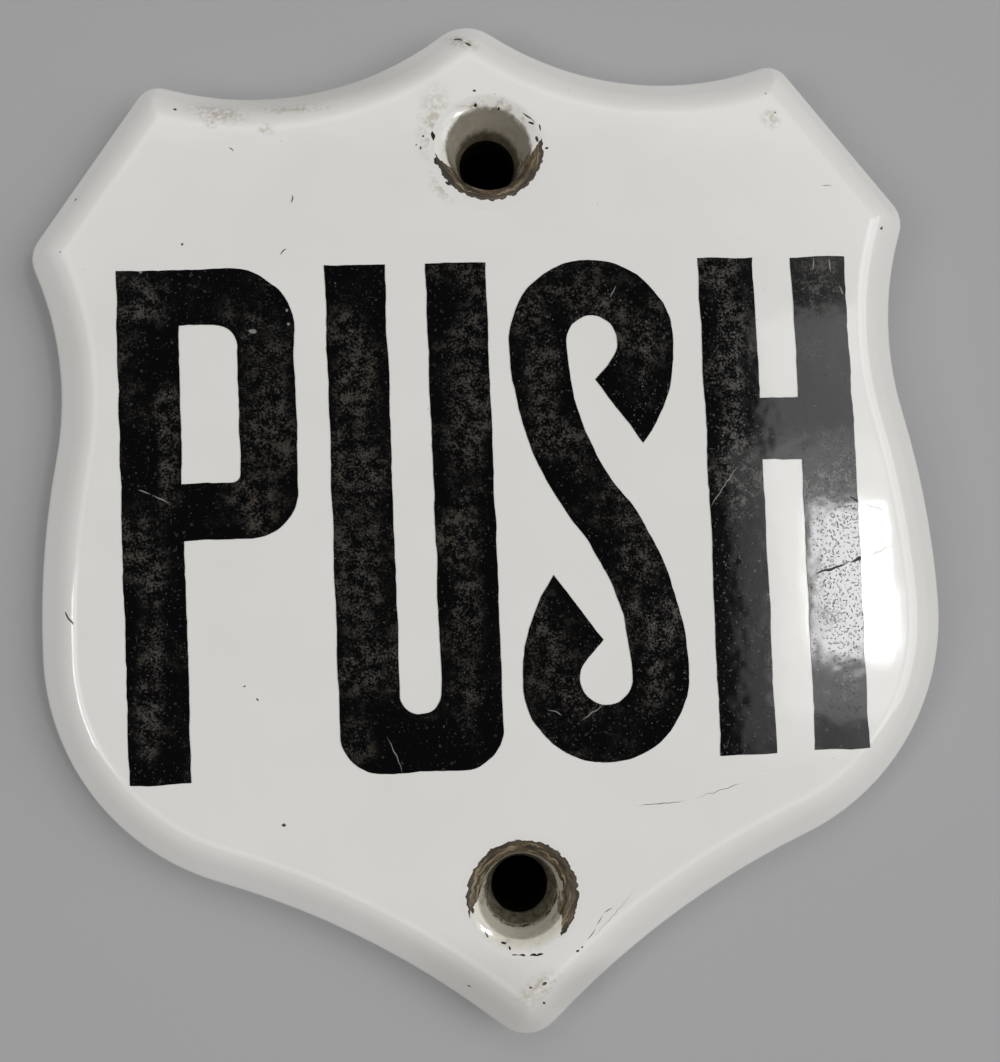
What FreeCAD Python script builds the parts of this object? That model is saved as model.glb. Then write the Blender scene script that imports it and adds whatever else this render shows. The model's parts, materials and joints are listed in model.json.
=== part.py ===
import FreeCAD, Part
import math
import os

# A glazed ceramic finger plate in the form of a heraldic shield, pressed in one piece, with two funnel
# shaped screw holes, one above the other, and black enamel lettering fired onto its face.
# Lengths are in millimetres and angles in degrees. The origin is midway between the two screw holes, on
# the back face. +X is to the right seen from the front, +Y is towards the top and +Z is out of the face.

V = FreeCAD.Vector

# Screw holes: a plain bore that opens into a funnel
HOLE_SPACING = 55.0
BORE_RADIUS = 2.1
FUNNEL_FLARE = 1.3
FUNNEL_DEPTH = 3.1
LIP_ROUND = 1.1

# The shield and its word stand a little askew to the line of the screws, turned about the lower hole
PLATE_TURN = 1.1

# Lettering: one line of tall block capitals between the holes, drawn by their strokes and counters
ENAMEL_THICKNESS = 0.12
GAP_ABOVE_WORD = 8.4
GAP_BELOW_WORD = 9.4
WORD_TURN = -1.4
STEM = 4.4
P_COUNTER_WIDTH = 4.2
P_COUNTER_HEIGHT = 11.6
P_BOWL_STROKE = 4.1
P_OUTER_ROUND = 4.6
P_LOWER_ROUND = 3.4
P_INNER_ROUND = 1.8
P_INNER_LOWER_ROUND = 0.6
P_U_GAP = 2.4
U_COUNTER_WIDTH = 3.0
U_FOOT = 4.2
U_OUTER_ROUND = 2.9
U_INNER_ROUND = 1.35
U_S_GAP = 1.55
S_STROKE = 4.2
S_EYE_RADIUS = 1.95
S_EYE_END_ANGLE = -46.0
S_POINT_RISE = 4.75
S_POINT_INSET = 2.6
S_SPUR_DROP = 2.8
S_SPUR_SHIFT = 0.1
S_H_GAP = 2.15
H_STEM = 4.2
H_COUNTER_WIDTH = 3.0
H_BAR_HEIGHT = 4.7
H_BAR_DROP = 10.7

CAP_HEIGHT = HOLE_SPACING - GAP_ABOVE_WORD - GAP_BELOW_WORD
BASELINE_Y = -HOLE_SPACING / 2 + GAP_BELOW_WORD
P_WIDTH = STEM + P_COUNTER_WIDTH + P_BOWL_STROKE
U_WIDTH = 2 * STEM + U_COUNTER_WIDTH
S_WIDTH = 2 * (S_STROKE + S_EYE_RADIUS)
H_WIDTH = 2 * H_STEM + H_COUNTER_WIDTH
WORD_WIDTH = P_WIDTH + P_U_GAP + U_WIDTH + U_S_GAP + S_WIDTH + S_H_GAP + H_WIDTH

# Shield outline before its corners are rounded: its waist clears the word, its ends clear the holes
WAIST_MARGIN = 4.75
WAIST_RADIUS = 25.0
HOLE_TO_PEAK = 11.9
SCALLOP_RADIUS = 24.0
SHOULDER_DROP = 4.5
SHOULDER_INSET = 9.6
SIDE_DROP = 12.9
SIDE_STAND_OUT = 2.0
BULGE_STAND_OUT = 2.3
BULGE_Y = -8.2
BULGE_RADIUS = 18.5
FLANK_RADIUS = 65.0
HOLE_TO_TIP = 12.2

WAIST_HALF_WIDTH = WORD_WIDTH / 2 + WAIST_MARGIN
PEAK = (0.0, HOLE_SPACING / 2 + HOLE_TO_PEAK)
SIDE = (WAIST_HALF_WIDTH + SIDE_STAND_OUT, PEAK[1] - SHOULDER_DROP - SIDE_DROP)
SHOULDER = (SIDE[0] - SHOULDER_INSET, PEAK[1] - SHOULDER_DROP)
WIDEST = (WAIST_HALF_WIDTH + BULGE_STAND_OUT, BULGE_Y)
TIP = (0.0, -HOLE_SPACING / 2 - HOLE_TO_TIP)

# Radii that round the outline's corners, and those of the crest above them
PEAK_ROUND = 3.4
SHOULDER_ROUND = 2.0
SIDE_ROUND = 2.5
TIP_ROUND = 3.0
CREST_CORNER_ROUND = 2.0

# Section through the plate: upright wall, bevel and a face that is part of a large ball
WALL_HEIGHT = 3.4
FACE_RISE = 3.0
FACE_RADIUS = 800.0
BEVEL_ANGLE = 41.5
CREST_ROUND = 1.8
RIM_ROUND = 1.1
BACK_ROUND = 0.4

CENTRE_THICKNESS = WALL_HEIGHT + FACE_RISE
LOWER_HOLE = V(0, -HOLE_SPACING / 2, 0)

# A cutting shape runs this far past what it cuts
OVERRUN = 1.0
# Places this close count as one
CLOSE = 1e-3
# Points looked at along an edge to tell where it lies
LOOKS = 5
# A corner's radius takes no more than this share of its box's shorter side
MOST_ROUND = 0.49


def flat(point, z=0.0):
    return V(point[0], point[1], z)


def along(start, end, distance):
    """The point at a distance from start, on the line that runs through end."""
    share = distance / math.dist(start, end)
    return (start[0] + (end[0] - start[0]) * share, start[1] + (end[1] - start[1]) * share)


def circles_meet(centre_a, radius_a, centre_b, radius_b, side):
    """Where two circles cross, on the left (side 1) or right (side -1) of the line from a to b."""
    span = math.dist(centre_a, centre_b)
    reach = (radius_a**2 - radius_b**2 + span**2) / (2 * span)
    rise = side * math.sqrt(radius_a**2 - reach**2)
    ux = (centre_b[0] - centre_a[0]) / span
    uy = (centre_b[1] - centre_a[1]) / span
    return (centre_a[0] + reach * ux - rise * uy, centre_a[1] + reach * uy + rise * ux)


def arc(centre, start, end):
    """The shorter arc about centre from start to end, in the plane of the drawing."""
    chord_middle = ((start[0] + end[0]) / 2, (start[1] + end[1]) / 2)
    middle = along(centre, chord_middle, math.dist(centre, start))
    return Part.Arc(flat(start), flat(middle), flat(end)).toShape()


def line(start, end):
    return Part.LineSegment(flat(start), flat(end)).toShape()


def closed_wire(edges):
    return Part.Wire(Part.__sortEdges__(edges))


def every_point(edge, test):
    return all(test(point) for point in edge.discretize(LOOKS))


def round_corners(wire, corners):
    """The wire with corners rounded, where each corner is its place and its radius."""
    block = Part.Face(wire).extrude(V(0, 0, OVERRUN))
    for place, radius in corners:
        upright = [e for e in block.Edges if every_point(e, lambda p: math.dist((p.x, p.y), place) < CLOSE)]
        block = block.makeFillet(radius, upright)
    base = [face for face in block.Faces if abs(face.CenterOfMass.z) < CLOSE]
    return base[0].OuterWire


def half_outline():
    """Edges of the right half from peak to tip: scallop, cut shoulder, waist, hip, bulge and flank."""
    scallop_centre = circles_meet(PEAK, SCALLOP_RADIUS, SHOULDER, SCALLOP_RADIUS, 1)

    waist_x = WAIST_HALF_WIDTH + WAIST_RADIUS
    waist_centre = (waist_x, SIDE[1] - math.sqrt(WAIST_RADIUS**2 - (waist_x - SIDE[0]) ** 2))

    # The hip's arc touches the waist's arc and stands upright where the shield is widest
    across = waist_x - WIDEST[0]
    down = waist_centre[1] - WIDEST[1]
    hip_radius = (across**2 + down**2 - WAIST_RADIUS**2) / (2 * (WAIST_RADIUS - across))
    hip_centre = (WIDEST[0] - hip_radius, WIDEST[1])
    hip_start = along(waist_centre, hip_centre, WAIST_RADIUS)

    # The flank's arc touches the bulge's arc and runs to the tip
    bulge_centre = (WIDEST[0] - BULGE_RADIUS, WIDEST[1])
    flank_centre = circles_meet(TIP, FLANK_RADIUS, bulge_centre, FLANK_RADIUS + BULGE_RADIUS, -1)
    flank_start = along(bulge_centre, flank_centre, BULGE_RADIUS)

    return [
        arc(scallop_centre, PEAK, SHOULDER),
        line(SHOULDER, SIDE),
        arc(waist_centre, SIDE, hip_start),
        arc(hip_centre, hip_start, WIDEST),
        arc(bulge_centre, WIDEST, flank_start),
        arc(flank_centre, flank_start, TIP),
    ]


def shield_outline():
    right = half_outline()
    left = [edge.mirror(V(0, 0, 0), V(1, 0, 0)) for edge in right]
    return closed_wire(right + left)


def corner_list(outline):
    """The six corners of the outline or of an inset of it: peak, tip, shoulders and sides, with radii."""
    places = [(vertex.X, vertex.Y) for vertex in outline.Vertexes]
    corners = []
    for corner, radius in [(PEAK, PEAK_ROUND), (TIP, TIP_ROUND)]:
        corners.append((min(places, key=lambda p: math.dist(p, corner)), radius))
    for corner, radius in [(SHOULDER, SHOULDER_ROUND), (SIDE, SIDE_ROUND)]:
        for hand in (-1, 1):
            wanted = (hand * corner[0], corner[1])
            corners.append((min(places, key=lambda p: math.dist(p, wanted)), radius))
    return corners


def face_height(x, y):
    """Height of the crowned face above the back at a place on the plate."""
    return CENTRE_THICKNESS - FACE_RADIUS + math.sqrt(FACE_RADIUS**2 - x**2 - y**2)


def crown_ball(extra=0.0):
    """The ball whose top is the crowned face, or a skin over it. Its seam is turned away to the far side."""
    centre = V(0, 0, CENTRE_THICKNESS - FACE_RADIUS)
    return Part.makeSphere(FACE_RADIUS + extra, centre, V(0, -1, 0))


def on_crown(point):
    return abs(point.z - face_height(point.x, point.y)) < CLOSE


def pressed_blank():
    """Upright wall, bevel and crowned face, with crest, rim and back edge still sharp."""
    outline = shield_outline()
    foot = round_corners(outline, corner_list(outline))
    wall = Part.Face(foot).extrude(V(0, 0, WALL_HEIGHT))

    # The bevel runs on past the crown so that the crown cuts it
    rise = FACE_RISE + OVERRUN
    inset = outline.makeOffset2D(-rise / math.tan(math.radians(BEVEL_ANGLE)), 2)
    crest = round_corners(inset, [(place, CREST_CORNER_ROUND) for place, _ in corner_list(inset)])
    foot.translate(V(0, 0, WALL_HEIGHT))
    crest.translate(V(0, 0, WALL_HEIGHT + rise))
    bevel = Part.makeLoft([foot, crest], True, True)
    blank = wall.fuse(bevel).removeSplitter().rotated(LOWER_HOLE, V(0, 0, 1), PLATE_TURN)
    return blank.common(crown_ball()).Solids[0]


def glazed_blank():
    """The blank with its crest, rim and back edge rounded as the press and the glaze leave them."""
    blank = pressed_blank()
    crest = [e for e in blank.Edges if every_point(e, on_crown)]
    blank = blank.makeFillet(CREST_ROUND, crest)
    rim = [e for e in blank.Edges if every_point(e, lambda p: abs(p.z - WALL_HEIGHT) < CLOSE)]
    blank = blank.makeFillet(RIM_ROUND, rim)
    back = [e for e in blank.Edges if every_point(e, lambda p: abs(p.z) < CLOSE)]
    return blank.makeFillet(BACK_ROUND, back)


def screw_hole(y):
    """The space of one hole: a plain bore that opens into a funnel towards the face."""
    throat_z = face_height(0, y) - FUNNEL_DEPTH
    mouth_radius = BORE_RADIUS + FUNNEL_FLARE * (FUNNEL_DEPTH + OVERRUN) / FUNNEL_DEPTH
    bore = Part.makeCylinder(BORE_RADIUS, throat_z + OVERRUN, V(0, y, -OVERRUN))
    funnel = Part.makeCone(BORE_RADIUS, mouth_radius, FUNNEL_DEPTH + OVERRUN, V(0, y, throat_z))
    return bore.fuse(funnel)


def shield_plate():
    plate = glazed_blank()
    reach = BORE_RADIUS + FUNNEL_FLARE + LIP_ROUND
    for y in (HOLE_SPACING / 2, -HOLE_SPACING / 2):
        plate = plate.cut(screw_hole(y))
        around = [e for e in plate.Edges if every_point(e, lambda p: math.dist((p.x, p.y), (0, y)) < reach)]
        lip = [e for e in around if every_point(e, on_crown)]
        plate = plate.makeFillet(LIP_ROUND, lip)
    return plate.Solids[0]


def box_wire(x0, y0, x1, y1):
    corners = [(x0, y0), (x1, y0), (x1, y1), (x0, y1)]
    return closed_wire([line(a, b) for a, b in zip(corners, corners[1:] + corners[:1])])


def box_face(x0, y0, x1, y1, radii=(0, 0, 0, 0)):
    """A rectangle whose corners, from lower left round to upper left, have these radii."""
    limit = MOST_ROUND * min(x1 - x0, y1 - y0)
    places = [(x0, y0), (x1, y0), (x1, y1), (x0, y1)]
    corners = [(place, min(radius, limit)) for place, radius in zip(places, radii) if radius]
    return Part.Face(round_corners(box_wire(x0, y0, x1, y1), corners))


def letter_p():
    foot_y = CAP_HEIGHT - P_COUNTER_HEIGHT - 2 * P_BOWL_STROKE
    stem = box_face(0, 0, STEM, CAP_HEIGHT)
    bowl = box_face(0, foot_y, P_WIDTH, CAP_HEIGHT, (0, P_LOWER_ROUND, P_OUTER_ROUND, 0))
    counter = box_face(
        STEM,
        foot_y + P_BOWL_STROKE,
        STEM + P_COUNTER_WIDTH,
        CAP_HEIGHT - P_BOWL_STROKE,
        (0, P_INNER_LOWER_ROUND, P_INNER_ROUND, 0),
    )
    return stem.fuse(bowl).cut(counter).removeSplitter()


def letter_u():
    body = box_face(0, 0, U_WIDTH, CAP_HEIGHT, (U_OUTER_ROUND, U_OUTER_ROUND, 0, 0))
    top = CAP_HEIGHT + OVERRUN
    well = box_face(STEM, U_FOOT, STEM + U_COUNTER_WIDTH, top, (U_INNER_ROUND, U_INNER_ROUND, 0, 0))
    return body.cut(well)


def letter_s_half():
    """Edges of the upper half of an S about its own centre, from one end of the spine to the other."""
    outer = S_EYE_RADIUS + S_STROKE
    bowl_y = CAP_HEIGHT / 2 - outer
    bowl = (0.0, bowl_y)

    # The spine is two arcs, one the other's half turn, that meet at the letter's centre
    lean = S_EYE_RADIUS + S_STROKE / 2
    spine_radius = (lean**2 + bowl_y**2) / (2 * lean)
    spine_centre = (spine_radius - lean, bowl_y)
    far_side = along(spine_centre, (0.0, 0.0), spine_radius + S_STROKE / 2)
    near_side = along(spine_centre, (0.0, 0.0), spine_radius - S_STROKE / 2)

    # The arm ends in a slanted cut from the outer point in to a spur under the eye
    point = (outer - S_POINT_INSET, S_POINT_RISE)
    arm_drop = bowl_y - S_POINT_RISE
    arm_radius = (S_POINT_INSET**2 + arm_drop**2) / (2 * S_POINT_INSET)
    arm_centre = (outer - arm_radius, bowl_y)
    spur = (S_SPUR_SHIFT, bowl_y - S_SPUR_DROP)
    eye_end_angle = math.radians(S_EYE_END_ANGLE)
    eye_end = (S_EYE_RADIUS * math.cos(eye_end_angle), bowl_y + S_EYE_RADIUS * math.sin(eye_end_angle))
    eye_right = (S_EYE_RADIUS, bowl_y)
    eye_top = (0.0, bowl_y + S_EYE_RADIUS)
    eye_left = (-S_EYE_RADIUS, bowl_y)
    return [
        arc(spine_centre, far_side, (-outer, bowl_y)),
        arc(bowl, (-outer, bowl_y), (0.0, bowl_y + outer)),
        arc(bowl, (0.0, bowl_y + outer), (outer, bowl_y)),
        arc(arm_centre, (outer, bowl_y), point),
        line(point, spur),
        line(spur, eye_end),
        arc(bowl, eye_end, eye_right),
        arc(bowl, eye_right, eye_top),
        arc(bowl, eye_top, eye_left),
        arc(spine_centre, eye_left, near_side),
    ]


def letter_s():
    upper = letter_s_half()
    lower = []
    for edge in upper:
        turned = edge.copy()
        turned.rotate(V(0, 0, 0), V(0, 0, 1), 180)
        lower.append(turned)
    face = Part.Face(closed_wire(upper + lower))
    face.translate(V(S_WIDTH / 2, CAP_HEIGHT / 2, 0))
    return face


def letter_h():
    bar_top = CAP_HEIGHT - H_BAR_DROP
    left = box_face(0, 0, H_STEM, CAP_HEIGHT)
    right = box_face(H_WIDTH - H_STEM, 0, H_WIDTH, CAP_HEIGHT)
    bar = box_face(0, bar_top - H_BAR_HEIGHT, H_WIDTH, bar_top)
    return left.fuse([right, bar]).removeSplitter()


def lettering():
    """The four letters as a skin of enamel that follows the crowned face."""
    skin = crown_ball(ENAMEL_THICKNESS).cut(crown_ball())
    letters = [
        (letter_p(), P_WIDTH + P_U_GAP),
        (letter_u(), U_WIDTH + U_S_GAP),
        (letter_s(), S_WIDTH + S_H_GAP),
        (letter_h(), H_WIDTH),
    ]
    left = -WORD_WIDTH / 2
    solids = []
    for face, step in letters:
        face.translate(V(left, BASELINE_Y, WALL_HEIGHT))
        face.rotate(V(0, 0, 0), V(0, 0, 1), WORD_TURN)
        face.rotate(LOWER_HOLE, V(0, 0, 1), PLATE_TURN)
        solids.extend(face.extrude(V(0, 0, CENTRE_THICKNESS)).common(skin).Solids)
        left += step
    return Part.makeCompound(solids)


os.makedirs("parts", exist_ok=True)
for name, shape in [("shield_plate", shield_plate()), ("lettering", lettering())]:
    shape.exportStep("parts/" + name + ".step")
    print(name, "solids", len(shape.Solids), "valid", shape.isValid(), "mm3", round(shape.Volume, 2))
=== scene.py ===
import json
import math
import bmesh
import bpy
from mathutils import Matrix, Vector, noise


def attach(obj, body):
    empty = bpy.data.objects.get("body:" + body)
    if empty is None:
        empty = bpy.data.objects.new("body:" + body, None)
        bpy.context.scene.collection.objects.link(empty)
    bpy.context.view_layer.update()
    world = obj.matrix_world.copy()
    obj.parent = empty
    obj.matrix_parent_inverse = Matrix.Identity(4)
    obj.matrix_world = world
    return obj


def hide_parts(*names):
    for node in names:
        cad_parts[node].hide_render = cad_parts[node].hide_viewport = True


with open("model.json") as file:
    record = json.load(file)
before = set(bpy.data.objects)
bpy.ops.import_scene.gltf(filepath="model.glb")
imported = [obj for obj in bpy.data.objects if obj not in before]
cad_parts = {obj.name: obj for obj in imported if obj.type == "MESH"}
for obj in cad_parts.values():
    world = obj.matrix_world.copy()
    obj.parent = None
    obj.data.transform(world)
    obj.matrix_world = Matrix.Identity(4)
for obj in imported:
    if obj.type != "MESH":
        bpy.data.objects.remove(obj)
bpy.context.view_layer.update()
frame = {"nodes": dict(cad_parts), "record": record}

# Camera: held by hand over the face, 79 mm above the back, a little to the left of and below the middle,
# and almost square to the plate. The turns are about the plate's own X, Y and Z.
CAMERA_PLACE = Vector((-0.00507, -0.00341, 0.07938))
CAMERA_TURNS = [(2.000, "X"), (-3.602, "Y"), (-2.468, "Z")]
IMAGE_WIDTH = 1000
IMAGE_HEIGHT = 1062
FOCAL_LENGTH_PX = 1000
SENSOR = 36.0

camera_data = bpy.data.cameras.new("camera")
camera_data.sensor_fit = "VERTICAL"
camera_data.sensor_height = SENSOR
camera_data.lens = FOCAL_LENGTH_PX / IMAGE_HEIGHT * SENSOR
camera_data.clip_start = 0.005
camera = bpy.data.objects.new("camera", camera_data)
camera_turn = Matrix.Identity(4)
for degrees, axis in CAMERA_TURNS:
    camera_turn = camera_turn @ Matrix.Rotation(math.radians(degrees), 4, axis)
camera.matrix_world = Matrix.Translation(CAMERA_PLACE) @ camera_turn
bpy.context.scene.collection.objects.link(camera)
bpy.context.scene.camera = camera


# Floor: a plain pale board that the plate lies on, large enough to fill every view, and on it a thin black
# sheet, smaller than the plate, put under the screw holes as painted shade so that the holes look black.
# Both lie a hair below the back, so that nothing shares a plane.
FLOOR_HALF_WIDTH = 1.5
SHEET_HALF_WIDTH = 0.005
SHEET_PLACES = [m["pos_m"] for m in frame["record"]["mounts"] if m["kind"] == "bore"]
STAGE = [
    # name, half width, gap below the back, middles, colour, specular level
    ("floor", FLOOR_HALF_WIDTH, 0.00004, [(0, 0, 0)], (0.39, 0.39, 0.395, 1.0), 0.5),
    # painted shade: a black sheet under the screw holes, seen only through them
    ("shade_sheet", SHEET_HALF_WIDTH, 0.00002, SHEET_PLACES, (0.001, 0.001, 0.001, 1.0), 0.0),
]

for name, half_width, gap, middles, color, specular in STAGE:
    shape = bmesh.new()
    for middle in middles:
        spot = Matrix.Translation((middle[0], middle[1], -gap))
        bmesh.ops.create_grid(shape, x_segments=1, y_segments=1, size=half_width, matrix=spot)
    stage_mesh = bpy.data.meshes.new(name)
    shape.to_mesh(stage_mesh)
    shape.free()
    stage = bpy.data.objects.new(name, stage_mesh)
    bpy.context.scene.collection.objects.link(stage)
    paint = bpy.data.materials.new(name)
    paint.use_nodes = True
    paint_shader = paint.node_tree.nodes["Principled BSDF"]
    paint_shader.inputs["Base Color"].default_value = color
    paint_shader.inputs["Roughness"].default_value = 0.9
    paint_shader.inputs["Specular IOR Level"].default_value = specular
    stage_mesh.materials.append(paint)


# Light: a pale room that is bright above the horizon and dark overhead, where the camera is held, two large
# soft lamps, and three small ones seen as the reflections of a window: two on the right of the face and one
# along the left-hand crest.
class Socket:
    """A shader socket that can be used in Python expressions, which add the nodes they need."""

    tree = None

    def __init__(self, socket):
        self.socket = socket

    @classmethod
    def node(cls, kind, settings=None, output=0, **values):
        """Adds a node, sets it up, feeds its sockets by name or number and gives one of its outputs."""
        made = cls.tree.nodes.new("ShaderNode" + kind)
        for name, value in (settings or {}).items():
            if name == "stops":
                ramp = made.color_ramp.elements
                while len(ramp) < len(value):
                    ramp.new(1.0)
                for stop, (place, level) in zip(ramp, value):
                    stop.position = place
                    stop.color = (level, level, level, 1.0)
            else:
                setattr(made, name, value)
        for name, value in values.items():
            key = int(name[1:]) if name[0] == "_" else name.replace("_", " ")
            cls.feed(made.inputs[key], value)
        return cls(made.outputs[output])

    @classmethod
    def feed(cls, target, value):
        if isinstance(value, cls):
            cls.tree.links.new(value.socket, target)
        else:
            target.default_value = value

    def math(self, operation, other=0.0):
        return Socket.node("Math", {"operation": operation}, _0=self, _1=other)

    def vector(self, operation, other=(0.0, 0.0, 0.0), third=(0.0, 0.0, 0.0), output=0):
        return Socket.node("VectorMath", {"operation": operation}, output, _0=self, _1=other, _2=third)

    def __add__(self, other):
        return self.math("ADD", other)

    def __sub__(self, other):
        return self.math("SUBTRACT", other)

    def __rsub__(self, other):
        return Socket.node("Math", {"operation": "SUBTRACT"}, _0=other, _1=self)

    def __mul__(self, other):
        return self.math("MULTIPLY", other)

    __radd__ = __add__
    __rmul__ = __mul__

    def step(self, start, end):
        """0 at start, 1 at end and a smooth rise between them."""
        settings = {"interpolation_type": "SMOOTHSTEP"}
        return Socket.node("MapRange", settings, Value=self, From_Min=start, From_Max=end)

    def mix(self, below, above):
        """The colour below where this is 0, and the colour above where it is 1."""
        return Socket.node("Mix", {"data_type": "RGBA"}, 2, _0=self, _6=below, _7=above)


ROOM_STOPS = [(0.0, 0.04), (0.4, 0.05), (0.62, 0.05), (0.70, 1.12), (0.82, 1.12), (0.89, 0.05), (1.0, 0.05)]
LAMPS = [
    # name, place, width, length along Y, radiance
    ("upper_lamp", (0.0, 0.64, 0.64), 0.8, 0.5, 0.55),
    ("right_lamp", (0.69, 0.0, 0.58), 0.5, 0.7, 2.3),
    ("window", (0.415, 0.03, 0.80), 0.15, 0.44, 1.9),
    ("low_window", (0.40, -0.06, 0.80), 0.20, 0.34, 1.0),
    ("window_pane", (0.4225, -0.043, 0.80), 0.084, 0.165, 16.0),
    ("side_window", (-0.56, -0.14, 0.556), 0.20, 0.34, 2.2),
    ("side_pane", (-0.62, -0.14, 0.48), 0.08, 0.30, 7.0),
]

world = bpy.data.worlds.new("room")
world.use_nodes = True
Socket.tree = world.node_tree
sky = Socket.node("SeparateXYZ", output=2, Vector=Socket.node("TexCoord"))
Socket.feed(world.node_tree.nodes["Background"].inputs["Color"], Socket.node("ValToRGB", {"stops": ROOM_STOPS}, Fac=sky))
bpy.context.scene.world = world
for name, place, width, height, radiance in LAMPS:
    lamp_data = bpy.data.lights.new(name, "AREA")
    lamp_data.shape = "RECTANGLE"
    lamp_data.size = width
    lamp_data.size_y = height
    lamp_data.energy = radiance * math.pi * width * height
    lamp = bpy.data.objects.new(name, lamp_data)
    back_to_plate = Vector(place).normalized()
    across = Vector((0, 1, 0)).cross(back_to_plate).normalized()
    facing = Matrix((across, back_to_plate.cross(across), back_to_plate)).transposed().to_4x4()
    lamp.matrix_world = Matrix.Translation(place) @ facing
    bpy.context.scene.collection.objects.link(lamp)
bpy.context.scene.view_settings.view_transform = "Standard"


# Glazed plate: white-bodied clay pressed in a steel die, with an upright wall, a bevel all round and a face
# that swells a little towards its middle. The glaze softens every edge. Its outline is the CAD solid's.
BALL_RADIUS = 0.8
FACE_TOP = 0.0064
WALL_HEIGHT = 0.0034
BEVEL_ANGLE = math.radians(41.5)
RIM_RADIUS = 0.0011
RIM_STEPS = 6
CREST_RINGS = 22
CREST_END = 0.0038
CREST_BLEND = 0.0009
OUTLINE_STEP = 0.0012
BACK_ROUND = 0.0004
BACK_STEPS = 3
OUTLINE_PINCH = 0.00015
RING_PINCH = 0.00005
GRID_STEP = 0.055 / 40
GRID_REACH = 30


def face_height(x, y):
    """Height of the swelling face above the back."""
    return FACE_TOP - BALL_RADIUS + math.sqrt(BALL_RADIUS**2 - x * x - y * y)


def edge_height(inset):
    """Height of rim and bevel at a distance in from the wall."""
    turned = RIM_RADIUS * (1 - math.sin(BEVEL_ANGLE))
    if inset < turned:
        start = WALL_HEIGHT - RIM_RADIUS * math.tan((math.pi / 2 - BEVEL_ANGLE) / 2)
        return start + math.sqrt(RIM_RADIUS**2 - (RIM_RADIUS - inset) ** 2)
    return WALL_HEIGHT + inset * math.tan(BEVEL_ANGLE)


def lower_of(a, b):
    """The lower of two heights, with the crease between them rounded."""
    near = max(CREST_BLEND - abs(a - b), 0.0) / CREST_BLEND
    return min(a, b) - near * near * CREST_BLEND / 4


def merged_copy(node):
    """The CAD solid's mesh as one closed bmesh."""
    shape = bmesh.new()
    shape.from_mesh(frame["nodes"][node].data)
    bmesh.ops.remove_doubles(shape, verts=shape.verts, dist=1e-7)
    return shape


def everything(shape):
    return shape.verts[:] + shape.edges[:] + shape.faces[:]


# The outline: a level cut through the solid's wall, with the cuts through the bores taken away
plate = merged_copy("shield_plate")
hole_places = [Vector(m["pos_m"]) for m in frame["record"]["mounts"] if m["kind"] == "bore"]
bore_radius = next(m["dims"]["r_mm"] for m in frame["record"]["mounts"] if m["kind"] == "bore") / 1000
level = {"plane_co": (0, 0, WALL_HEIGHT / 2), "plane_no": (0, 0, 1)}
bmesh.ops.bisect_plane(plate, geom=everything(plate), dist=1e-9, clear_outer=True, clear_inner=True, **level)
bores = [v for v in plate.verts if min((v.co.xy - h.xy).length for h in hole_places) < bore_radius * 1.1]
bmesh.ops.delete(plate, geom=bores, context="VERTS")
bmesh.ops.translate(plate, verts=plate.verts, vec=(0, 0, -WALL_HEIGHT / 2))
bmesh.ops.remove_doubles(plate, verts=plate.verts, dist=OUTLINE_PINCH)
long_edges = [e for e in plate.edges if e.calc_length() > OUTLINE_STEP]
while long_edges:
    bmesh.ops.subdivide_edges(plate, edges=long_edges, cuts=1)
    long_edges = [e for e in plate.edges if e.calc_length() > OUTLINE_STEP]
bmesh.ops.contextual_create(plate, geom=plate.edges[:])

# Wall and rounded back edge
lifted = bmesh.ops.extrude_face_region(plate, geom=plate.faces[:], use_keep_orig=True)["geom"]
wall_top = [g for g in lifted if isinstance(g, bmesh.types.BMVert)]
bmesh.ops.translate(plate, verts=wall_top, vec=(0, 0, edge_height(0)))
back_edges = [e for e in plate.edges if all(v.co.z < 1e-6 for v in e.verts)]
bmesh.ops.bevel(
    plate,
    geom=back_edges,
    offset=BACK_ROUND,
    offset_type="OFFSET",
    segments=BACK_STEPS,
    profile=0.5,
    affect="EDGES",
    material=-1,
)


# Rim, bevel and crest: rings set in one after another, each of which remembers how far in it lies
def widest_face(shape, z):
    """The many-sided face at this height that still has to be divided."""
    level_faces = [f for f in shape.faces if abs(f.calc_center_median().z - z) < 1e-6]
    return max(level_faces, key=lambda face: len(face.verts))


inset_of = plate.verts.layers.float.new("inset")
rim_insets = []
for i in range(1, RIM_STEPS + 1):
    rim_insets.append(RIM_RADIUS * (1 - math.cos((math.pi / 2 - BEVEL_ANGLE) * i / RIM_STEPS)))
crest_step = (CREST_END - rim_insets[-1]) / CREST_RINGS
crest_insets = [rim_insets[-1] + crest_step * i for i in range(1, CREST_RINGS + 1)]
reached = 0.0
for inset in rim_insets + crest_insets:
    inner = widest_face(plate, edge_height(0))
    bmesh.ops.inset_region(plate, faces=[inner], thickness=inset - reached, use_even_offset=True)
    for vert in inner.verts:
        vert[inset_of] = inset
    bmesh.ops.remove_doubles(plate, verts=list(inner.verts), dist=RING_PINCH)
    reached = inset

# Face: the many-sided middle is divided by a square grid that has the holes' centres on its lines
is_face = plate.faces.layers.int.new("face")
widest_face(plate, edge_height(0))[is_face] = 1


def divide(shape, cells, normal, distance):
    """Cuts these faces with an upright plane."""
    geom = set(cells)
    for cell in cells:
        geom.update(cell.edges, cell.verts)
    bmesh.ops.bisect_plane(shape, geom=list(geom), dist=1e-7, plane_co=normal * distance, plane_no=normal)


for axis, normal in ((0, Vector((1, 0, 0))), (1, Vector((0, 1, 0)))):
    start = hole_places[0][axis] % GRID_STEP
    for line in range(-GRID_REACH, GRID_REACH):
        divide(plate, [f for f in plate.faces if f[is_face]], normal, start + line * GRID_STEP)

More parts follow.
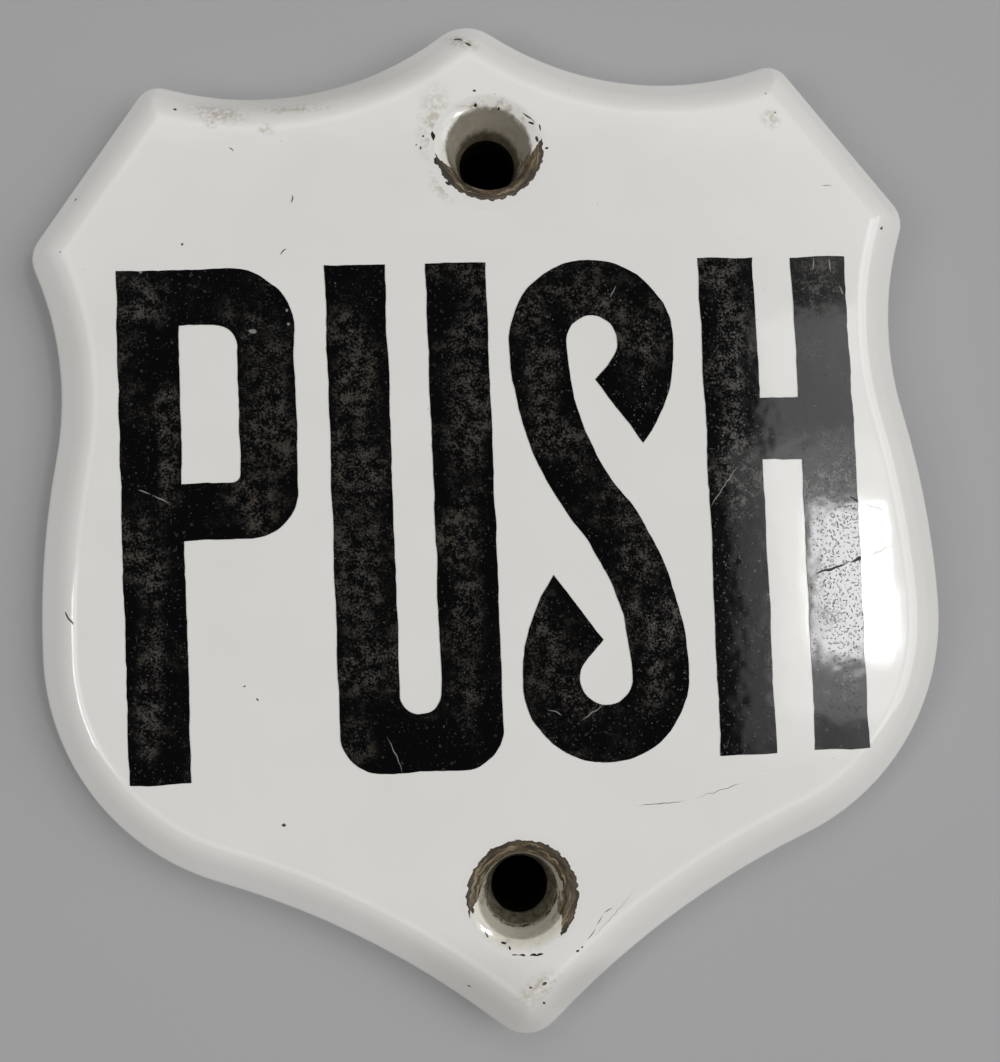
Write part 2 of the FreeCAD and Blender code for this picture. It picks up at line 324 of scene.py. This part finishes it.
# Screw holes: a collar in the face, the glazed lip, a funnel and a plain bore down to the back
COLLAR_RADIUS = 0.0045
MOUTH_DRIFTS = [Vector((0.0, 0.00038)), Vector((0.0, 0.0))]  # the upper mouth sits off its bore
LIP_START = 0.00410
LIP_BENDS = [(0.00018, 14.0), (0.00062, 22.0), (0.00022, 67.0)]  # length and the slope at its end
LIP_STEPS = 5
FUNNEL_DEPTH = 0.0031
FUNNEL_STEPS = 3
BORE_STEPS = 4
HOLE_SEGMENTS = 72

profile = [(LIP_START, 0.0, 1.0)]
slope = 0.0
for length, end_slope in LIP_BENDS:
    for i in range(LIP_STEPS):
        turn = math.radians(slope + (end_slope - slope) * (i + 0.5) / LIP_STEPS)
        radius, depth, _ = profile[-1]
        step = length / LIP_STEPS
        profile.append((radius - step * math.cos(turn), depth + step * math.sin(turn), 1.0))
    slope = end_slope
lip_radius, lip_depth, _ = profile[-1]
for i in range(1, FUNNEL_STEPS + 1):
    share = i / FUNNEL_STEPS
    radius = lip_radius + (bore_radius - lip_radius) * share
    profile.append((radius, lip_depth + (FUNNEL_DEPTH - lip_depth) * share, 1.0 - share))

back_rings = []
for hole, drift in zip(hole_places, MOUTH_DRIFTS):
    # Grid cells under the collar go, and the gap between grid and collar is filled
    reach = COLLAR_RADIUS + GRID_STEP * 0.75
    near = {f for f in plate.faces if f[is_face] and (f.calc_center_median().xy - hole.xy).length < reach}
    gap = [e for f in near for e in f.edges if any(g not in near for g in e.link_faces)]
    bmesh.ops.delete(plate, geom=list(near), context="FACES")
    collar_turn = Matrix.Translation((hole.x, hole.y, edge_height(0)))
    collar = bmesh.ops.create_circle(plate, radius=COLLAR_RADIUS, segments=HOLE_SEGMENTS, matrix=collar_turn)["verts"]
    ring = list({e for v in collar for e in v.link_edges})
    filled = bmesh.ops.triangle_fill(plate, edges=[e for e in gap if e.is_valid] + ring, use_beauty=True)["geom"]
    for face in filled:
        if isinstance(face, bmesh.types.BMFace):
            face[is_face] = 1

    # The wall of the hole, ring by ring; the lip follows the slope of the face
    hole_z = face_height(hole.x, hole.y)
    middle = hole.xy
    bore_profile = [(bore_radius, FUNNEL_DEPTH + (hole_z - FUNNEL_DEPTH) * i / BORE_STEPS, 0.0) for i in range(1, BORE_STEPS + 1)]
    for radius, depth, follow in profile + bore_profile:
        made = bmesh.ops.extrude_edge_only(plate, edges=ring)["geom"]
        for face in made:
            if isinstance(face, bmesh.types.BMFace):
                face[is_face] = 0
        new_verts = {g for g in made if isinstance(g, bmesh.types.BMVert)}
        ring = [g for g in made if isinstance(g, bmesh.types.BMEdge) and new_verts.issuperset(g.verts)]
        next_middle = hole.xy + drift * follow
        for vert in new_verts:
            spot = next_middle + (vert.co.xy - middle).normalized() * radius
            top = hole_z + (face_height(spot.x, spot.y) - hole_z) * follow
            vert.co = (spot.x, spot.y, top - depth)
            vert[inset_of] = -1.0
        middle = next_middle
    back_rings += ring

# Heights of rim, bevel, crest and face
face_verts = {v for f in plate.faces if f[is_face] for v in f.verts}
for vert in face_verts:
    vert.co.z = face_height(vert.co.x, vert.co.y)
for vert in plate.verts:
    if vert[inset_of] > 0 and vert not in face_verts:
        vert.co.z = lower_of(edge_height(vert[inset_of]), face_height(vert.co.x, vert.co.y))

# Back: flat and open at the two bores
back = [f for f in plate.faces if all(v.co.z < 1e-6 for v in f.verts)]
back_rings += back[0].edges[:]
bmesh.ops.delete(plate, geom=back, context="FACES_ONLY")
bmesh.ops.triangle_fill(plate, edges=back_rings, normal=(0, 0, -1))
bmesh.ops.recalc_face_normals(plate, faces=plate.faces)
for face in plate.faces:
    face.smooth = True
    middle = face.calc_center_median().xy
    face.material_index = int(min((middle - hole.xy).length for hole in hole_places) < COLLAR_RADIUS)
    if max(v.co.z for v in face.verts) < BACK_ROUND * 1.1:
        face.material_index = 2
for edge in back_rings:
    edge.smooth = False

plate_mesh = bpy.data.meshes.new("glazed_plate")
plate.to_mesh(plate_mesh)
print("plate", len(plate.verts), len(plate.faces), "open", sum(1 for e in plate.edges if not e.is_manifold))
plate.free()
glazed_plate = bpy.data.objects.new("glazed_plate", plate_mesh)
bpy.context.scene.collection.objects.link(glazed_plate)

def on_face(column, row):
    """Where the ray through this point of the photograph meets the face."""
    ray = camera_turn.to_3x3() @ Vector(((column - IMAGE_WIDTH / 2) / FOCAL_LENGTH_PX, (IMAGE_HEIGHT / 2 - row) / FOCAL_LENGTH_PX, -1.0))
    place = Vector((0.0, 0.0, FACE_TOP))
    for _ in range(3):
        place = CAMERA_PLACE + ray * ((place.z - CAMERA_PLACE.z) / ray.z)
        place.z = face_height(place.x, place.y)
    return place


def marks(position, places):
    """How near the closest of these marks is, as a share of its own size: 0 in its middle and 1 at its edge."""
    nearest = None
    for start, end, width in places:
        tail = on_face(*start)
        head = on_face(*end)
        middle = (tail + head) / 2
        along = Vector((head.x - tail.x, head.y - tail.y, 0.0))
        if start == end:
            away = position.vector("DISTANCE", middle, output=1) * (2 / width)
        else:
            lengthwise = along.normalized() / (along.length / 2 + width / 2)
            sideways = along.normalized().cross(Vector((0, 0, 1))) / (width / 2)
            column = position.vector("DOT_PRODUCT", lengthwise, output=1)
            row = position.vector("DOT_PRODUCT", sideways, output=1)
            own_middle = (middle.dot(lengthwise), middle.dot(sideways), 0.0)
            away = Socket.node("CombineXYZ", X=column, Y=row).vector("DISTANCE", own_middle, output=1)
        nearest = away if nearest is None else nearest.math("MINIMUM", away)
    return nearest


def grain(position, size, detail=2.0, output=0):
    """Cloudy noise of this size in metres, from 0 to 1."""
    return Socket.node("TexNoise", output=output, Vector=position, Scale=1 / size, Detail=detail)


def start_material(name):
    """A new material, its Principled sockets, a place on the piece, and that place shaken a little."""
    material = bpy.data.materials.new(name)
    material.use_nodes = True
    Socket.tree = material.node_tree
    place = Socket.node("TexCoord", output=3)
    wander = grain(place, 0.0006, 0.0, output=1).vector("SUBTRACT", (0.5, 0.5, 0.5))
    shaken = wander.vector("MULTIPLY_ADD", (0.00025, 0.00025, 0.0), place)
    return material, material.node_tree.nodes["Principled BSDF"].inputs, place, shaken


GLAZE_COLOR = (0.78, 0.765, 0.735, 1.0)
CLEAN_GLAZE_COLOR = (0.80, 0.79, 0.765, 1.0)
GLAZE_ROUGHNESS = 0.06
DIRT_COLOR = (0.055, 0.045, 0.032, 1.0)
STAIN_COLOR = (0.40, 0.34, 0.24, 1.0)
# painted shade colour for the glaze
PAINTED_SHADE_COLOR = (0.50, 0.485, 0.45, 1.0)
WALL_COLOR = (0.34, 0.31, 0.25, 1.0)
PALE_WALL_COLOR = (0.56, 0.53, 0.43, 1.0)
RUST_COLOR = (0.115, 0.075, 0.040, 1.0)
DEEP_FUNNEL_COLOR = (0.070, 0.060, 0.036, 1.0)
CREAM_COLOR = (0.60, 0.56, 0.45, 1.0)
CRUST_COLOR = (0.022, 0.017, 0.010, 1.0)
BROWN_COLOR = (0.090, 0.062, 0.030, 1.0)
TAN_COLOR = (0.24, 0.195, 0.115, 1.0)
# painted shade: near black for the bore
BORE_SHADE_COLOR = (0.006, 0.005, 0.004, 1.0)
BISCUIT_COLOR = (0.66, 0.61, 0.53, 1.0)
PALE_BISCUIT_COLOR = (0.72, 0.68, 0.60, 1.0)

# Specks and short scratches: the ends of each in the photograph, and its width in metres
DARK_MARKS = [
    ((182, 244), (182, 244), 0.00022),
    ((60, 252), (60, 252), 0.00022),
    ((70, 195), (71, 195), 0.00018),
    ((174, 108), (175, 108), 0.00022),
    ((283, 825), (284, 825), 0.00026),
    ((883, 228), (884, 227), 0.00022),
    ((766, 92), (766, 92), 0.00020),
    ((775, 113), (775, 113), 0.00016),
    ((244, 686), (244, 686), 0.00014),
    ((256, 699), (257, 700), 0.00014),
    ((469, 992), (470, 992), 0.00020),
    ((577, 951), (578, 951), 0.00022),
    ((582, 948), (582, 947), 0.00016),
    ((292, 195), (292, 203), 0.00012),
    ((280, 255), (286, 249), 0.00010),
    ((229, 147), (233, 151), 0.00009),
    ((63, 613), (73, 625), 0.00017),
    ((544, 984), (546, 983), 0.00026),
    ((530, 988), (531, 988), 0.00020),
    ((544, 1004), (544, 1005), 0.00022),
    ((455, 33), (462, 36), 0.00022),
    ((466, 41), (470, 44), 0.00020),
    ((474, 90), (475, 90), 0.00022),
    ((421, 148), (421, 149), 0.00020),
    ((423, 136), (423, 136), 0.00016),
    ((416, 145), (416, 145), 0.00012),
]
HOLE_MARKS = [
    ((432, 132), (433, 139), 0.00024),
    ((475, 104), (476, 103), 0.00018),
    ((499, 107), (500, 107), 0.00014),
    ((487, 92), (488, 92), 0.00012),
    ((493, 94), (495, 95), 0.00012),
    ((547, 148), (548, 148), 0.00024),
    ((539, 124), (540, 130), 0.00014),
    ((537, 137), (538, 141), 0.00024),
    ((523, 112), (535, 123), 0.00011),
    ((528, 122), (534, 124), 0.00014),
    ((434, 156), (440, 167), 0.00034),
    ((440, 165), (452, 184), 0.00062),
    ((472, 907), (473, 913), 0.00016),
    ((483, 927), (487, 930), 0.00010),
    ((485, 932), (488, 937), 0.00011),
    ((501, 943), (505, 944), 0.00020),
    ((509, 948), (510, 949), 0.00014),
    ((513, 955), (519, 955), 0.00014),
    ((519, 955), (526, 956), 0.00024),
    ((530, 956), (538, 955), 0.00018),
    ((538, 955), (543, 953), 0.00016),
]
HAIRLINES = [
    ((613, 907), (603, 914), 0.00009),
    ((603, 914), (596, 927), 0.00009),
    ((596, 927), (587, 941), 0.00009),
    ((893, 545), (866, 557), 0.00022),
    ((862, 503), (888, 512), 0.00018),
    ((633, 806), (690, 800), 0.00009),
    ((690, 800), (750, 780), 0.00006),
    ((820, 185), (834, 186), 0.00008),
    ((587, 945), (640, 885), 0.00004),
]
STAINS = [
    ((196, 106), (238, 114), 0.0022),
    ((250, 106), (330, 104), 0.0012),
    ((207, 123), (212, 124), 0.0010),
    ((263, 129), (268, 129), 0.0011),
    ((770, 118), (771, 119), 0.0018),
    ((452, 34), (472, 44), 0.0016),
    ((524, 1000), (552, 978), 0.0020),
    ((436, 96), (432, 150), 0.0028),
    ((440, 180), (447, 190), 0.0022),
]
# Painted shade: soft grey areas where the glaze is darkened to stand for light falling off at the tip and along the
# top-left edge; the ends of each in the photograph, and its width in metres
SHADED_AREAS = [
    ((440, 990), (545, 1035), 0.0085),
    ((560, 1010), (600, 985), 0.0045),
    ((215, 88), (400, 66), 0.0042),
]


def finish_glaze(material, shader, place, tone, shine):
    """Feeds the shader, ripples the glaze a little and gives the material to the plate."""
    Socket.feed(shader["Base Color"], tone)
    Socket.feed(shader["Roughness"], shine)
    ripple = grain(place, 0.0022, 1.0) * 0.000012
    Socket.feed(shader["Normal"], Socket.node("Bump", Strength=1.0, Distance=1.0, Height=ripple))
    plate_mesh.materials.append(material)


# Clean glaze with its marks and stains, and painted shade at the tip and along the top-left edge
glaze, shader, place, shaken = start_material("white_glaze")
speck = marks(shaken, DARK_MARKS).step(1.0, 0.75)
hairline = marks(shaken, HAIRLINES).step(1.0, 0.4) * 0.85
dust = grain(place, 0.00035, 2.0)
cloud = grain(place, 0.006, 2.0)
stain = marks(shaken, STAINS).step(1.2, 0.1) * dust.step(0.32, 0.66) * 0.6
tiny = Socket.node("TexVoronoi", Vector=place, Scale=1 / 0.0016).step(0.045, 0.02) * cloud.step(0.5, 0.6) * 0.55
tone = cloud.step(0.2, 0.8).mix(GLAZE_COLOR, CLEAN_GLAZE_COLOR)
# painted shade: the glaze greyed over a few soft areas
tone = (marks(place, SHADED_AREAS).step(1.3, 0.3) * 0.5).mix(tone, PAINTED_SHADE_COLOR)
tone = (stain + tiny).math("MINIMUM", 1.0).mix(tone, STAIN_COLOR)
tone = speck.math("MAXIMUM", hairline).mix(tone, DIRT_COLOR)
finish_glaze(glaze, shader, place, tone, GLAZE_ROUGHNESS + 0.4 * speck + 0.02 * dust)

# Soiled glaze of the screw holes: rust and grime lie in rings round each hole, heaviest at the right and
# below in the upper hole, and above and at the right in the lower one; the funnel is darker deeper down, and the bore
# is painted near black as painted shade
HOLE_Y = abs(hole_places[0].y)
dirt_and_shade, shader, place, shaken = start_material("dirt_and_shade_glaze")
y = Socket.node("SeparateXYZ", output=1, Vector=place)
side = y.math("SIGN")
upper = side * 0.5 + 0.5
mouth_middle = Socket.node("CombineXYZ", Y=side * HOLE_Y + upper * MOUTH_DRIFTS[0].y)
flat = place.vector("SUBTRACT", mouth_middle).vector("MULTIPLY", (1.0, 1.0, 0.0))
radius = flat.vector("LENGTH", output=1)
toward = flat.vector("NORMALIZE")
height = Socket.node("SeparateXYZ", output=2, Vector=place)
dust = grain(place, 0.0005, 3.0)
ragged = radius + (dust - 0.5) * 0.0006
rings = Socket.node("CombineXYZ", X=side * 2.0, Z=ragged * 5200.0)
streak = Socket.node("TexNoise", Vector=toward.vector("MULTIPLY_ADD", (2.0, 2.0, 0.0), rings), Scale=1.0, Detail=3.0)
across = Socket.node("CombineXYZ", X=side * -0.07 + 0.21, Y=side * -0.975 - 0.015)
heavy = (toward.vector("DOT_PRODUCT", across, output=1) + (0.35 - side * 0.27)).step(-0.05, 0.50)
speck = (marks(shaken, HOLE_MARKS) + (dust - 0.5) * 2.0).step(1.0, 0.7)
thinned = (1.0 - heavy) * 0.0010
ring = (ragged - thinned).step(0.0029, 0.0032) * ragged.step(0.00415, 0.00405) * (streak + dust + heavy)
ring = ring.step(0.85, 1.00)
edge = ragged.step(0.00375, 0.00400)
ragged_height = height + (dust - 0.5) * 0.0009
wall = ragged_height.step(0.0057, 0.0053)
# darker deeper down the funnel
deep_funnel = (ragged_height + side * 0.00028).step(0.0042, 0.0037)
line = (ragged_height + side * 0.00028 - 0.0041).math("ABSOLUTE").step(0.00022, 0.00005)
# painted shade: the bore below the funnel is painted near black
bore = height.step(0.00300, 0.00285)
tone = upper.mix(PALE_WALL_COLOR, WALL_COLOR)
tone = (streak.step(0.48, 0.60) * (0.15 + 0.7 * heavy)).mix(tone, RUST_COLOR)
tone = (deep_funnel * (0.62 + 0.6 * dust)).mix(tone, DEEP_FUNNEL_COLOR)
tone = (line * dust.step(0.44, 0.58) * (0.9 - 0.7 * upper)).mix(tone, CRUST_COLOR)
cream = ragged.step(0.0042, 0.0034) * (0.75 - 0.5 * upper)
tone = wall.mix(cream.mix(GLAZE_COLOR, CREAM_COLOR), tone)
soil = streak.step(0.38, 0.50).mix(CRUST_COLOR, BROWN_COLOR)
soil = (edge * 0.65).mix(streak.step(0.52, 0.64).mix(soil, TAN_COLOR), CRUST_COLOR)
tone = ring.mix(tone, soil)
tone = speck.mix(tone, CRUST_COLOR)
tone = bore.mix(tone, BORE_SHADE_COLOR)
finish_glaze(dirt_and_shade, shader, place, tone, GLAZE_ROUGHNESS + 0.4 * ring + 0.25 * wall * dust)

# The back, left without glaze
biscuit, shader, place, shaken = start_material("biscuit")
tone = grain(place, 0.0006, 4.0).step(0.3, 0.7).mix(BISCUIT_COLOR, PALE_BISCUIT_COLOR)
Socket.feed(shader["Base Color"], grain(place, 0.009, 3.0).step(0.62, 0.8).mix(tone, STAIN_COLOR))
Socket.feed(shader["Normal"], Socket.node("Bump", Strength=1.0, Distance=1.0, Height=grain(place, 0.0003) * 0.00002))
shader["Roughness"].default_value = 0.85
plate_mesh.materials.append(biscuit)
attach(glazed_plate, "root")
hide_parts("shield_plate")


# Lettering: black enamel laid on through a stencil and fired onto the glaze, a film whose edges are a
# little uneven. Its outline is the CAD solid's.
FILM_TOP = 0.00005
FILM_FOOT = 0.00003
FILM_GRID = 0.0005
FILM_REACH = 60
EDGE_WANDERS = [(420.0, 0.00010), (1500.0, 0.00005)]
EDGE_SEED = 7
SHARP_ANGLE = math.radians(50)

noise.seed_set(EDGE_SEED)
letters = merged_copy("lettering")
bmesh.ops.recalc_face_normals(letters, faces=letters.faces)
sides = [f for f in letters.faces if f.normal.z < 0.5]
bmesh.ops.delete(letters, geom=sides, context="FACES")
for normal in (Vector((1, 0, 0)), Vector((0, 1, 0))):
    for line in range(-FILM_REACH, FILM_REACH + 1):
        divide(letters, letters.faces[:], normal, line * FILM_GRID)
for vert in letters.verts:
    x, y = vert.co.xy
    drift = sum((noise.noise_vector(vert.co * scale) * reach for scale, reach in EDGE_WANDERS), Vector())
    vert.co = (x + drift.x, y + drift.y, face_height(x, y) + FILM_TOP)
top_faces = letters.faces[:]
sunk = bmesh.ops.extrude_face_region(letters, geom=top_faces, use_keep_orig=True)["geom"]
for vert in sunk:
    if isinstance(vert, bmesh.types.BMVert):
        vert.co.z = face_height(vert.co.x, vert.co.y) - FILM_FOOT
bmesh.ops.recalc_face_normals(letters, faces=letters.faces)
for face in letters.faces:
    face.smooth = True
for edge in letters.edges:
    edge.smooth = edge.calc_face_angle(0.0) < SHARP_ANGLE
letters_mesh = bpy.data.meshes.new("enamel_word")
letters.to_mesh(letters_mesh)
print("letters", len(letters.verts), len(letters.faces), "open", sum(1 for e in letters.edges if not e.is_manifold))
letters.free()
enamel_word = bpy.data.objects.new("enamel_word", letters_mesh)
bpy.context.scene.collection.objects.link(enamel_word)

ENAMEL_COLOR = (0.0010, 0.0010, 0.0012, 1.0)
BLOOM_COLOR = (0.058, 0.051, 0.043, 1.0)
SCRATCH_COLOR = (0.22, 0.22, 0.21, 1.0)

# Scratches through the enamel: the ends of each in the photograph, and its width in metres
PALE_SCRATCHES = [
    ((137, 490), (152, 496), 0.00012),
    ((152, 496), (170, 503), 0.00012),
    ((580, 722), (606, 702), 0.00010),
    ((546, 708), (563, 715), 0.00009),
    ((617, 284), (610, 299), 0.00009),
    ((387, 735), (404, 775), 0.00010),
    ((813, 257), (812, 271), 0.00012),
    ((829, 257), (830, 273), 0.00014),
    ((838, 286), (844, 295), 0.00016),
    ((740, 462), (708, 510), 0.00010),
    ((251, 331), (254, 331), 0.00040),
    ((124, 739), (127, 787), 0.00035),
    ((287, 310), (287, 311), 0.00025),
    ((289, 324), (289, 325), 0.00025),
    ((140, 271), (141, 272), 0.00030),
]

# Worn areas, where fine grey bloom is thickest, and the area that is pitted all over
WORN_AREAS = [
    ((262, 360), (258, 500), 0.0040),
    ((168, 380), (168, 490), 0.0014),
    ((150, 560), (150, 740), 0.0020),
    ((352, 290), (358, 690), 0.0030),
    ((466, 300), (468, 700), 0.0026),
    ((560, 300), (640, 330), 0.0036),
    ((580, 450), (650, 560), 0.0036),
    ((560, 650), (620, 730), 0.0036),
    ((538, 300), (545, 420), 0.0024),
    ((668, 590), (655, 680), 0.0024),
    ((728, 300), (735, 470), 0.0016),
]
PITTED_AREAS = [((845, 470), (847, 640), 0.0044)]
SCORES = [
    ((868, 556), (850, 562), 0.00030),
    ((850, 562), (812, 576), 0.00020),
    ((862, 503), (848, 496), 0.00018),
]

enamel, shader, place, shaken = start_material("black_enamel")
scratch = marks(shaken, PALE_SCRATCHES).step(1.0, 0.5)
scored = marks(shaken, SCORES).step(1.0, 0.5)
patches = grain(place, 0.0050, 3.0)
worn = marks(place, WORN_AREAS).step(1.6, 0.5) * 0.20 + patches
mottle = Socket.node("TexNoise", Vector=place, Scale=5500.0, Detail=3.0, Roughness=0.65)
dots = Socket.node("TexVoronoi", Vector=place, Scale=1 / 0.0008).step(0.20, 0.10)
clusters = grain(place, 0.0009, 2.0)
bloom = worn.step(0.46, 0.74) * (mottle * 0.6 + clusters * 0.4).step(0.46, 0.62)
bloom = bloom.math("MAXIMUM", dots * mottle.step(0.40, 0.60) * 0.6)
tone = bloom.mix(ENAMEL_COLOR, BLOOM_COLOR)
tone = scratch.mix(tone, SCRATCH_COLOR)
Socket.feed(shader["Base Color"], tone)
Socket.feed(shader["Roughness"], 0.07 + 0.18 * bloom + 0.5 * scored)
pitted = marks(place, PITTED_AREAS).step(1.3, 0.7)
pits = (grain(place, 0.00020, 1.0) - 0.08 * pitted).step(0.24, 0.33)
relief = pits * 0.000008 + grain(place, 0.0014, 1.0) * 0.000010
Socket.feed(shader["Normal"], Socket.node("Bump", Strength=1.0, Distance=1.0, Height=relief))
letters_mesh.materials.append(enamel)
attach(enamel_word, "root")
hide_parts("lettering")
